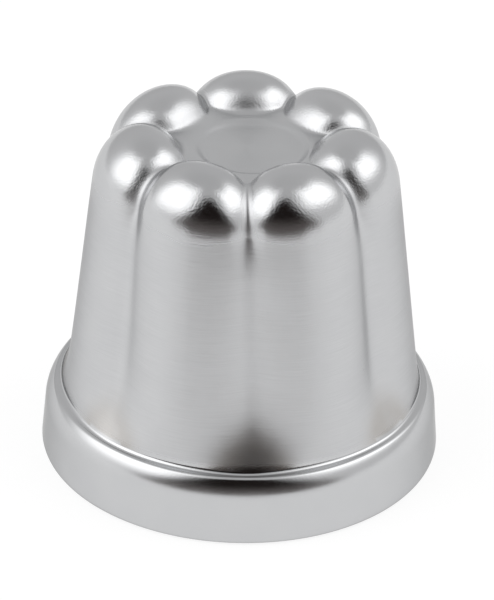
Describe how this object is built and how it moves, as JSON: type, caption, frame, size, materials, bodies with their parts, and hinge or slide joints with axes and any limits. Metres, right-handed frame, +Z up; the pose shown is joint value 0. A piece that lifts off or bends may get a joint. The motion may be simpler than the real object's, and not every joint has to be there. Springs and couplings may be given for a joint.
{
  "type": "baba mould",
  "caption": "Drawn aluminium baba mould: tapering lobed body with domed tops round a recessed crown, grooves running out to a round foot, and a flared collar round the open mouth.",
  "frame": {"origin": "centre of the mouth, on the plane of the lip that the mould stands on", "axes": "+Z up along the mould's axis towards the crown, -Y towards the groove that faces the picture's camera"},
  "size_m": [0.08, 0.08, 0.0717],
  "materials": {
    "satin_aluminium": "satin, turned and polished"
  },
  "bodies": {
    "root": {"mould_shell": "satin_aluminium"}
  },
  "joints": []
}
